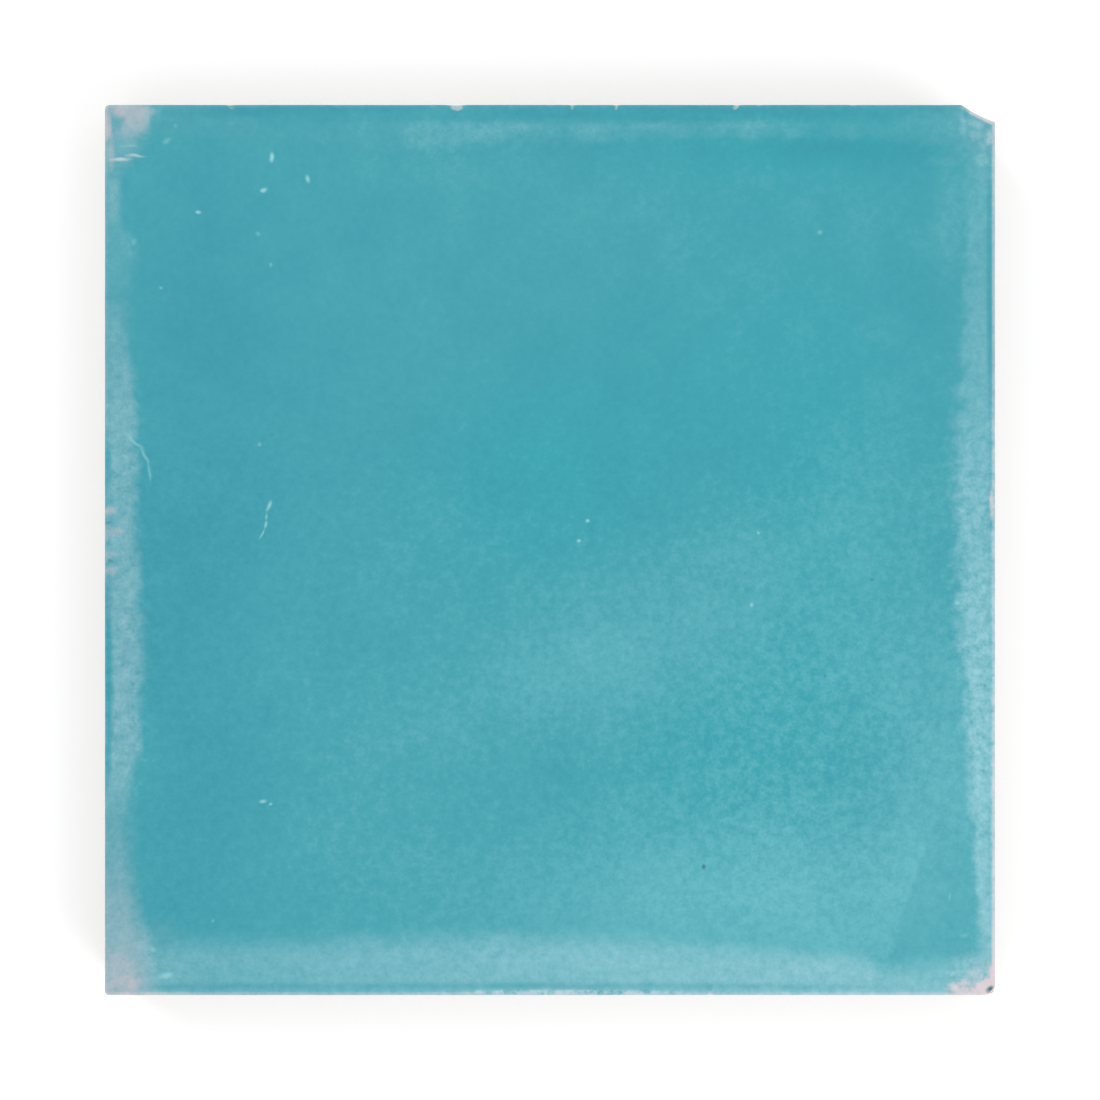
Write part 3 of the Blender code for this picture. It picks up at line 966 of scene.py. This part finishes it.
# Pale bloom lies on it as fine grains, and the greyish film as a softer wash
grainy = add_node(
    tree, "ShaderNodeMath", {"operation": "MULTIPLY_ADD"}, {0: fine, 1: value_of["speckled"], 2: 1.0}
).outputs[0]
bloom_share = add_node(
    tree,
    "ShaderNodeMath",
    {"operation": "MULTIPLY", "use_clamp": True},
    {0: value_of["bloom"], 1: grainy},
).outputs[0]
washed = add_node(
    tree, "ShaderNodeMath", {"operation": "MULTIPLY_ADD"}, {0: grainy, 1: 0.5, 2: 0.5}
).outputs[0]
film_share = add_node(
    tree,
    "ShaderNodeMath",
    {"operation": "MULTIPLY", "use_clamp": True},
    {0: value_of["film"], 1: washed},
).outputs[0]
colour = add_node(
    tree, "ShaderNodeMix", {"data_type": "RGBA"}, {0: bloom_share, 6: colour, 7: linear(BLOOM_COLOUR)}
).outputs[2]
colour = add_node(
    tree, "ShaderNodeMix", {"data_type": "RGBA"}, {0: film_share, 6: colour, 7: linear(FILM_COLOUR)}
).outputs[2]

# The body shows where the skin is rubbed off, with a ragged border
body = add_node(
    tree,
    "ShaderNodeMix",
    {"data_type": "RGBA"},
    {0: noise["mottle"], 6: linear(BODY["dark"]), 7: linear(BODY["light"])},
).outputs[2]
body = add_node(
    tree,
    "ShaderNodeMix",
    {"data_type": "RGBA"},
    {0: value_of["pink"], 6: body, 7: linear(BODY["pink"])},
).outputs[2]
ragged_rub = add_node(
    tree, "ShaderNodeMath", {"operation": "MULTIPLY"}, {0: value_of["rub"], 1: washed}
).outputs[0]
bare = add_node(
    tree,
    "ShaderNodeMapRange",
    {"interpolation_type": "SMOOTHSTEP"},
    {0: ragged_rub, 1: BARE[0], 2: BARE[1], 4: MOST_BARE},
).outputs[0]
colour = add_node(
    tree, "ShaderNodeMix", {"data_type": "RGBA"}, {0: bare, 6: colour, 7: body}
).outputs[2]

# The marks. For each kind, how near a point is to its nearest mark, in half sizes, with a
# wavering border. A faint mark is held away from every point by a distance of its own.
wavered = add_node(
    tree,
    "ShaderNodeVectorMath",
    {"operation": "MULTIPLY_ADD"},
    {0: centred["mottle"], 1: (MARK_WAVER, MARK_WAVER, 0.0), 2: place},
).outputs[0]
turned_place = {
    turn: add_node(
        tree,
        "ShaderNodeVectorRotate",
        {"rotation_type": "Z_AXIS"},
        {"Vector": wavered, "Angle": -math.radians(turn)},
    ).outputs[0]
    for turn in sorted({mark[4] for marks in MARKS.values() for mark in marks})
}
for kind, marks in MARKS.items():
    nearest = MARK_BORDER[1]
    for mark_x, mark_y, half_x, half_y, turn, strength in marks:
        cos, sin = math.cos(math.radians(turn)), math.sin(math.radians(turn))
        middle = (mark_x * cos + mark_y * sin, mark_y * cos - mark_x * sin)
        around = add_node(
            tree,
            "ShaderNodeVectorMath",
            {"operation": "MULTIPLY_ADD"},
            {
                0: turned_place[turn],
                1: (1 / half_x, 1 / half_y, 0.0),
                2: (-middle[0] / half_x, -middle[1] / half_y, MARK_BORDER[1] * (1 - strength)),
            },
        ).outputs[0]
        distance = add_node(
            tree, "ShaderNodeVectorMath", {"operation": "LENGTH"}, {0: around}
        ).outputs["Value"]
        nearest = add_node(
            tree, "ShaderNodeMath", {"operation": "MINIMUM"}, {0: nearest, 1: distance}
        ).outputs[0]
    marked = add_node(
        tree,
        "ShaderNodeMapRange",
        {"interpolation_type": "SMOOTHSTEP"},
        {0: nearest, 1: MARK_BORDER[0], 2: MARK_BORDER[1], 3: 1.0, 4: 0.0},
    ).outputs[0]
    colour = add_node(
        tree,
        "ShaderNodeMix",
        {"data_type": "RGBA"},
        {0: marked, 6: colour, 7: linear(MARK_COLOURS[kind])},
    ).outputs[2]

# Below the layer's wandering line the sides and the back are grey mortar with sand in it, its
# pores and voids darkened with painted shade
line_noise = add_node(
    tree,
    "ShaderNodeMath",
    {"operation": "MULTIPLY_ADD"},
    {0: noise["speckle"], 1: LAYER_WAVER, 2: value_of["above"]},
).outputs[0]
in_mortar = add_node(
    tree,
    "ShaderNodeMapRange",
    {"interpolation_type": "SMOOTHSTEP"},
    {0: line_noise, 1: LAYER_BORDER[0], 2: LAYER_BORDER[1]},
).outputs[0]
sand = add_node(tree, "ShaderNodeTexVoronoi", {}, {"Vector": place, "Scale": 1 / SAND_SIZE})
sand_picks = add_node(tree, "ShaderNodeSeparateColor", {}, {0: sand.outputs["Color"]}).outputs
mortar_tone = add_node(
    tree, "ShaderNodeMix", {}, {0: 0.5, 2: noise["mottle"], 3: sand_picks[0]}
).outputs[0]
mortar_colour = add_node(
    tree,
    "ShaderNodeMix",
    {"data_type": "RGBA"},
    {0: mortar_tone, 6: linear(MORTAR["dark"]), 7: linear(MORTAR["light"])},
).outputs[2]
pore_size = add_node(
    tree, "ShaderNodeMapRange", {}, {0: sand_picks[1], 1: NO_PORE, 2: 1.0, 4: PORE_RADIUS}
).outputs[0]
pore = add_node(
    tree, "ShaderNodeMath", {"operation": "SUBTRACT"}, {0: pore_size, 1: sand.outputs["Distance"]}
).outputs[0]
pore = add_node(tree, "ShaderNodeMapRange", {}, {0: pore, 1: 0.0, 2: PORE_BORDER}).outputs[0]
hollowed = add_node(
    tree,
    "ShaderNodeMapRange",
    {"interpolation_type": "SMOOTHSTEP"},
    {0: value_of["hollow"], 1: VOID_SHOWS[0], 2: VOID_SHOWS[1]},
).outputs[0]
hollowed = add_node(tree, "ShaderNodeMath", {"operation": "MAXIMUM"}, {0: pore, 1: hollowed}).outputs[0]
# Painted shade darkens the pores and voids
hollow_shade_share = add_node(
    tree, "ShaderNodeMath", {"operation": "MULTIPLY"}, {0: hollowed, 1: PAINTED_HOLLOW_SHADE}
).outputs[0]
mortar_colour = add_node(
    tree,
    "ShaderNodeMix",
    {"data_type": "RGBA"},
    {0: hollow_shade_share, 6: mortar_colour, 7: linear(MORTAR["hollow"])},
).outputs[2]
colour = add_node(
    tree, "ShaderNodeMix", {"data_type": "RGBA"}, {0: in_mortar, 6: colour, 7: mortar_colour}
).outputs[2]
tree.links.new(colour, shader.inputs["Base Color"])

# Satin where the steel polished it, matt where bloom, body or mortar shows
roughness = add_node(
    tree,
    "ShaderNodeMapRange",
    {},
    {0: noise["mottle"], 1: SATIN_NOISE[0], 2: SATIN_NOISE[1], 3: SATIN[0], 4: SATIN[1]},
).outputs[0]
for name, share in {"bloom": bloom_share, "body": bare, "mortar": in_mortar}.items():
    roughness = add_node(tree, "ShaderNodeMix", {}, {0: share, 2: roughness, 3: MATT[name]}).outputs[0]
tree.links.new(roughness, shader.inputs["Roughness"])

# The finest relief is a bump, in metres
peel = add_node(
    tree, "ShaderNodeMath", {"operation": "MULTIPLY"}, {0: noise["speckle"], 1: PEEL_HEIGHT * MM}
).outputs[0]
sandy = add_node(
    tree, "ShaderNodeMath", {"operation": "MULTIPLY"}, {0: noise["grain"], 1: SAND_HEIGHT * MM}
).outputs[0]
relief_height = add_node(tree, "ShaderNodeMix", {}, {0: in_mortar, 2: peel, 3: sandy}).outputs[0]
bumped = add_node(
    tree, "ShaderNodeBump", {}, {"Height": relief_height, "Distance": 1.0, "Strength": 1.0}
).outputs[0]
tree.links.new(bumped, shader.inputs["Normal"])

# The tile's one mesh is shown in place of the plain solid, and carries the material's amounts at
# its points
tile = mesh_object("cement_tile", points * MM, quads.tolist() + triangles.tolist(), finish)
tile.data.shade_smooth()
for name, values in attributes.items():
    attribute = tile.data.attributes.new(name, "FLOAT", "POINT")
    attribute.data.foreach_set("value", values.astype(np.float32))
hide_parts("tile")
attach(tile, "root")
